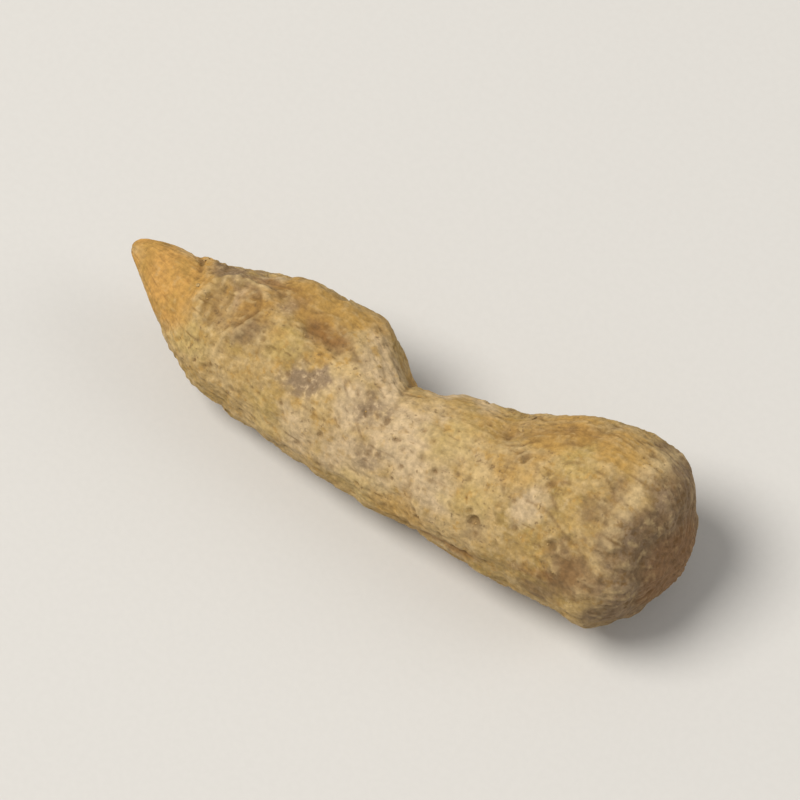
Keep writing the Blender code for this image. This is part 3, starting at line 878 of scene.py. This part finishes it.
def straw_material(c):
    """Khaki or straw colour, browner in places, for root stubs and scraps of sheath."""
    s = Shading("dry_straw")
    colour = s.mix(s.fade(s.noise(1.4, 3), 0.40, 0.70), c.khaki, c.pale)
    colour = s.mix(s.fade(s.noise(0.4, 2), 0.45, 0.65, 0.0, 0.7), colour, c.shade)
    s.feed(s.shader.inputs["Base Color"], colour)
    s.shader.inputs["Roughness"].default_value = 0.85
    s.feed(s.shader.inputs["Normal"], s.bump(s.noise(0.12, 2), 0.4, 0.02))
    return s.material


def dust_material(c):
    """Ground spice that clings in the pits."""
    s = Shading("spice_dust")
    s.feed(s.shader.inputs["Base Color"], s.mix(s.fade(s.noise(0.8, 3), 0.3, 0.7), c.ochre, c.pale))
    s.shader.inputs["Roughness"].default_value = 0.95
    s.feed(s.shader.inputs["Normal"], s.bump(s.noise(0.06, 2), 0.5, 0.02))
    return s.material


def floor_material(colour):
    """Plain pale paper."""
    s = Shading("pale_floor")
    tone = s.fade(s.noise(0.6, 2), 0.3, 0.7, 0.985, 1.0)
    s.feed(s.shader.inputs["Base Color"], s.mix(1.0, colour, s.grey(tone), "MULTIPLY"))
    s.shader.inputs["Roughness"].default_value = 0.9
    s.shader.inputs["Specular IOR Level"].default_value = 0.2
    return s.material


# Small bits strewn over the skin, with Geometry Nodes. In each function `t` is the tree that it adds to.


RAGGED_SIZE = 0.4  # mm, the size of the noise that makes each bit ragged
SMALLEST, LARGEST = 0.55, 1.25  # shares of the given size
STUB_TOP, STUB_FOOT, STUB_SUNK = 0.55, 1.3, -0.24  # shares of the stub's radius, and of its height
SCRAP_WIDTH = 0.55  # share of the scrap's length


class Tree:
    """Short ways to build one Geometry Nodes tree with named inputs."""

    def __init__(self, name):
        self.tree = bpy.data.node_groups.new(name, "GeometryNodeTree")
        self.tree.interface.new_socket("Geometry", in_out="INPUT", socket_type="NodeSocketGeometry")
        self.tree.interface.new_socket("Geometry", in_out="OUTPUT", socket_type="NodeSocketGeometry")
        self.start = self.tree.nodes.new("NodeGroupInput")
        self.end = self.tree.nodes.new("NodeGroupOutput")

    def input(self, name, kind="Float"):
        self.tree.interface.new_socket(name, in_out="INPUT", socket_type="NodeSocket" + kind)
        return self.start.outputs[name]

    def add(self, kind, inputs=None, **settings):
        node = self.tree.nodes.new(kind)
        for key, value in settings.items():
            setattr(node, key, value)
        for key, value in (inputs or {}).items():
            if isinstance(value, bpy.types.NodeSocket):
                self.tree.links.new(value, node.inputs[key])
            else:
                node.inputs[key].default_value = value
        return node

    def times(self, a, b):
        return self.add("ShaderNodeMath", {0: a, 1: b}, operation="MULTIPLY").outputs[0]

    def xyz(self, x, y, z):
        return self.add("ShaderNodeCombineXYZ", {0: x, 1: y, 2: z}).outputs[0]

    def finish(self, geometry, raggedness, material):
        """Real faces, pushed about by noise, in one material and alone in the output."""
        real = self.add("GeometryNodeRealizeInstances", {"Geometry": geometry})
        cloud = self.add("ShaderNodeTexNoise", {"Scale": PER_MM / RAGGED_SIZE, "Detail": 1.0})
        centred = self.add(
            "ShaderNodeVectorMath", {0: cloud.outputs["Color"], 1: (0.5, 0.5, 0.5)}, operation="SUBTRACT"
        )
        push = self.add(
            "ShaderNodeVectorMath", {0: centred.outputs[0], "Scale": raggedness}, operation="SCALE"
        )
        ragged = self.add("GeometryNodeSetPosition", {"Geometry": real.outputs[0], "Offset": push.outputs[0]})
        painted = self.add(
            "GeometryNodeSetMaterial", {"Geometry": ragged.outputs[0], "Material": material}
        )
        self.tree.links.new(painted.outputs[0], self.end.inputs[0])
        return self.tree


def strewn_tree(name, shape, mask, material):
    """A tree that strews one small shape over the skin, thicker where the mask is high. Its inputs are
    the shape's Radius, Height and Raggedness, and how the shapes are strewn: Density, Spacing, Lean and
    Seed."""
    t = Tree(name)
    piece = shape(t, t.input("Radius"), t.input("Height"))
    raggedness = t.input("Raggedness")
    density, spacing, lean = t.input("Density"), t.input("Spacing"), t.input("Lean")
    seed = t.input("Seed", "Int")
    share = t.add("GeometryNodeInputNamedAttribute", {"Name": mask}, data_type="FLOAT").outputs[0]
    points = t.add(
        "GeometryNodeDistributePointsOnFaces",
        {
            "Mesh": t.start.outputs[0],
            "Distance Min": spacing,
            "Density Max": density,
            "Density Factor": share,
            "Seed": seed,
        },
        distribute_method="POISSON",
    )
    # A random number's limits are inputs 2 and 3, and a random vector's are 0 and 1.
    size = t.add("FunctionNodeRandomValue", {2: SMALLEST, 3: LARGEST, "Seed": seed}, data_type="FLOAT")
    placed = t.add(
        "GeometryNodeInstanceOnPoints",
        {
            "Points": points.outputs["Points"],
            "Instance": piece,
            "Rotation": points.outputs["Rotation"],
            "Scale": size.outputs[1],
        },
    )
    least = t.times(lean, -1.0)
    turn = t.add(
        "FunctionNodeRandomValue",
        {0: t.xyz(least, least, 0.0), 1: t.xyz(lean, lean, 2 * math.pi), "Seed": seed},
        data_type="FLOAT_VECTOR",
    )
    turned = t.add(
        "GeometryNodeRotateInstances",
        {"Instances": placed.outputs[0], "Rotation": turn.outputs[0], "Local Space": True},
    )
    return t.finish(turned.outputs[0], raggedness, material)


def stub_shape(t, radius, height):
    """A short torn root: a tapered stub, sunk a little into the skin."""
    cone = t.add(
        "GeometryNodeMeshCone",
        {
            "Vertices": 9,
            "Side Segments": 2,
            "Fill Segments": 2,
            "Radius Top": t.times(radius, STUB_TOP),
            "Radius Bottom": t.times(radius, STUB_FOOT),
            "Depth": height,
        },
    )
    sunk = t.xyz(0.0, 0.0, t.times(height, STUB_SUNK))
    return t.add("GeometryNodeTransform", {"Geometry": cone.outputs["Mesh"], "Translation": sunk}).outputs[0]


def scrap_shape(t, radius, height):
    """A thin scale of old sheath, longer than wide, lying on the skin."""
    ball = t.add("GeometryNodeMeshIcoSphere", {"Radius": 1.0, "Subdivisions": 2})
    flat = t.xyz(radius, t.times(radius, SCRAP_WIDTH), height)
    lifted = t.xyz(0.0, 0.0, height)
    return t.add(
        "GeometryNodeTransform",
        {"Geometry": ball.outputs["Mesh"], "Scale": flat, "Translation": lifted},
    ).outputs[0]


def crumb_shape(t, radius, height):
    """A grain of dust, sunk a little into the skin."""
    ball = t.add("GeometryNodeMeshIcoSphere", {"Radius": 1.0, "Subdivisions": 1})
    size = t.xyz(radius, radius, height)
    return t.add("GeometryNodeTransform", {"Geometry": ball.outputs["Mesh"], "Scale": size}).outputs[0]


# Each kind of bit: its piece, its shape, the mask that says where it lies, the word that its settings
# start with, how ragged it is as a share of its radius, how far it may lean in radians, and its own seed.
Kind = namedtuple("Kind", "piece shape mask settings raggedness lean seed")
KINDS = (
    Kind("root_stubs", stub_shape, "stub_place", "stub", 0.9, 0.3, 0),
    Kind("sheath_scraps", scrap_shape, "scrap_place", "scrap", 0.2, 0.22, 3),
    Kind("spice_dust", crumb_shape, "dust_place", "crumb", 0.8, 0.5, 2),
)


def grown_on(skin, tree, sizes):
    """Make a plain mesh piece of the tree's result over the skin. The sizes go to the tree's inputs."""
    holder = bpy.data.objects.new(tree.name, skin.data.copy())
    bpy.context.scene.collection.objects.link(holder)
    modifier = holder.modifiers.new(tree.name, "NODES")
    modifier.node_group = tree
    for socket in tree.interface.items_tree:
        if socket.name in sizes:
            modifier[socket.identifier] = sizes[socket.name]
    mesh = bpy.data.meshes.new_from_object(holder.evaluated_get(bpy.context.evaluated_depsgraph_get()))
    holder.modifiers.remove(modifier)
    covered = holder.data
    holder.data = mesh
    bpy.data.meshes.remove(covered)
    mesh.shade_smooth()
    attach(holder, BODY)


class TURMERIC_OT_skin(bpy.types.Operator):
    """Lay the fine dried skin over the plain solid"""

    bl_idname = "turmeric.skin"
    bl_label = "Dried skin"

    def execute(self, context):
        settings = context.scene.turmeric_skin
        mesh = dried_skin_mesh(settings)
        mesh.materials.clear()
        mesh.materials.append(skin_material(settings))
        skin = bpy.data.objects.new("dried_skin", mesh)
        context.scene.collection.objects.link(skin)
        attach(skin, BODY)
        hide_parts(NODE)
        return {"FINISHED"}


class TURMERIC_OT_bits(bpy.types.Operator):
    """Set the root stubs, the scraps of sheath and the crumbs of spice on the skin"""

    bl_idname = "turmeric.bits"
    bl_label = "Stubs, scraps and crumbs"

    def execute(self, context):
        colours, settings = context.scene.turmeric_skin, context.scene.turmeric_bits
        skin = bpy.data.objects["dried_skin"]
        straw, dust = straw_material(colours), dust_material(colours)
        for kind in KINDS:
            sizes = {
                name: getattr(settings, f"{kind.settings}_{name.lower()}")
                for name in ("Radius", "Height", "Density", "Spacing")
            }
            sizes["Raggedness"] = kind.raggedness * sizes["Radius"]
            sizes["Lean"] = kind.lean
            sizes["Seed"] = settings.seed + kind.seed
            material = dust if kind.shape is crumb_shape else straw
            grown_on(skin, strewn_tree(kind.piece, kind.shape, kind.mask, material), sizes)
        return {"FINISHED"}


LIGHT_DISTANCE = 1.4
FLOOR_RADIUS, FLOOR_SIDES = 1.2, 96
# Where the lights stand, as shares of the camera's right, its up and the way back to it.
KEY_FROM, KEY_SIZE, KEY_COLOUR = (-0.50, 0.42, 0.74), 0.80, (1.0, 0.965, 0.91)
FILL_FROM, FILL_SIZE, FILL_COLOUR = (0.85, 0.20, 0.50), 1.0, (1.0, 0.98, 0.95)
SKY_COLOUR = (1.0, 0.985, 0.96, 1.0)


def area_light(name, place, target, size, power, colour):
    light = bpy.data.lights.new(name, "AREA")
    light.shape = "DISK"
    light.size = size
    light.energy = power
    light.color = colour
    lamp = bpy.data.objects.new(name, light)
    lamp.location = place
    lamp.rotation_euler = (target - place).to_track_quat("-Z", "Y").to_euler()
    bpy.context.scene.collection.objects.link(lamp)


def set_floor(colour):
    bpy.ops.mesh.primitive_circle_add(vertices=FLOOR_SIDES, radius=FLOOR_RADIUS, fill_type="NGON")
    floor = bpy.context.object
    floor.name = "floor"
    floor.data.materials.append(floor_material(colour))


def set_camera(centre, back, right, settings):
    """A long lens, far enough back that the finger fills its share of the picture's width."""
    camera = bpy.data.cameras.new("camera")
    camera.lens = settings.lens
    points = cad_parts[NODE].data.vertices
    half_wide = max(abs((v.co - centre).dot(right)) for v in points)
    distance = 2 * half_wide / settings.fill * camera.lens / camera.sensor_width
    view = bpy.data.objects.new("camera", camera)
    view.location = centre + back * distance
    view.rotation_euler = (-back).to_track_quat("-Z", "Y").to_euler()
    bpy.context.scene.collection.objects.link(view)
    bpy.context.scene.camera = view


def set_sky(strength):
    world = bpy.data.worlds.new("studio")
    world.use_nodes = True
    sky = world.node_tree.nodes["Background"]
    sky.inputs["Color"].default_value = SKY_COLOUR
    sky.inputs["Strength"].default_value = strength
    bpy.context.scene.world = world


class TURMERIC_OT_stage(bpy.types.Operator):
    """Set the floor, the lights and the camera"""

    bl_idname = "turmeric.stage"
    bl_label = "Stage"

    def execute(self, context):
        settings = context.scene.turmeric_stage
        centre = (SOLID_BOX[0] + SOLID_BOX[1]) / 2
        across, height = math.cos(settings.elevation), math.sin(settings.elevation)
        turned, aside = math.cos(settings.azimuth), math.sin(settings.azimuth)
        back = Vector((aside * across, -turned * across, height))
        right = Vector((turned, aside, 0))
        axes = (right, back.cross(right), back)
        set_floor(settings.floor)
        set_camera(centre, back, right, settings)
        for name, shares, size, power, colour in (
            ("key", KEY_FROM, KEY_SIZE, settings.key_power, KEY_COLOUR),
            ("fill", FILL_FROM, FILL_SIZE, settings.fill_power, FILL_COLOUR),
        ):
            way = sum((axis * share for axis, share in zip(axes, shares)), Vector())
            area_light(name, centre + LIGHT_DISTANCE * way.normalized(), centre, size, power, colour)
        set_sky(settings.sky)
        context.scene.view_settings.view_transform = "Standard"
        return {"FINISHED"}


class TURMERIC_PT_sidebar(bpy.types.Panel):
    """Lists the pieces and their settings"""

    bl_label = "Turmeric"
    bl_idname = "TURMERIC_PT_sidebar"
    bl_space_type = "VIEW_3D"
    bl_region_type = "UI"
    bl_category = "Turmeric"

    def draw(self, context):
        for operator in OPERATORS:
            self.layout.operator(operator.bl_idname)
        for group in SETTINGS:
            box = self.layout.box()
            settings = getattr(context.scene, group)
            for name in settings.__annotations__:
                box.prop(settings, name)


SETTINGS = {
    "turmeric_skin": TurmericSkinSettings,
    "turmeric_bits": TurmericBitsSettings,
    "turmeric_stage": TurmericStageSettings,
}
OPERATORS = (TURMERIC_OT_stage, TURMERIC_OT_skin, TURMERIC_OT_bits)


def register():
    for group in (*SETTINGS.values(), *OPERATORS, TURMERIC_PT_sidebar):
        bpy.utils.register_class(group)
    for name, group in SETTINGS.items():
        setattr(bpy.types.Scene, name, PointerProperty(type=group))


def unregister():
    for name in SETTINGS:
        delattr(bpy.types.Scene, name)
    for group in reversed((*SETTINGS.values(), *OPERATORS, TURMERIC_PT_sidebar)):
        bpy.utils.unregister_class(group)


def main():
    register()
    bpy.ops.turmeric.stage()
    bpy.ops.turmeric.skin()
    bpy.ops.turmeric.bits()


if __name__ == "__main__":
    main()
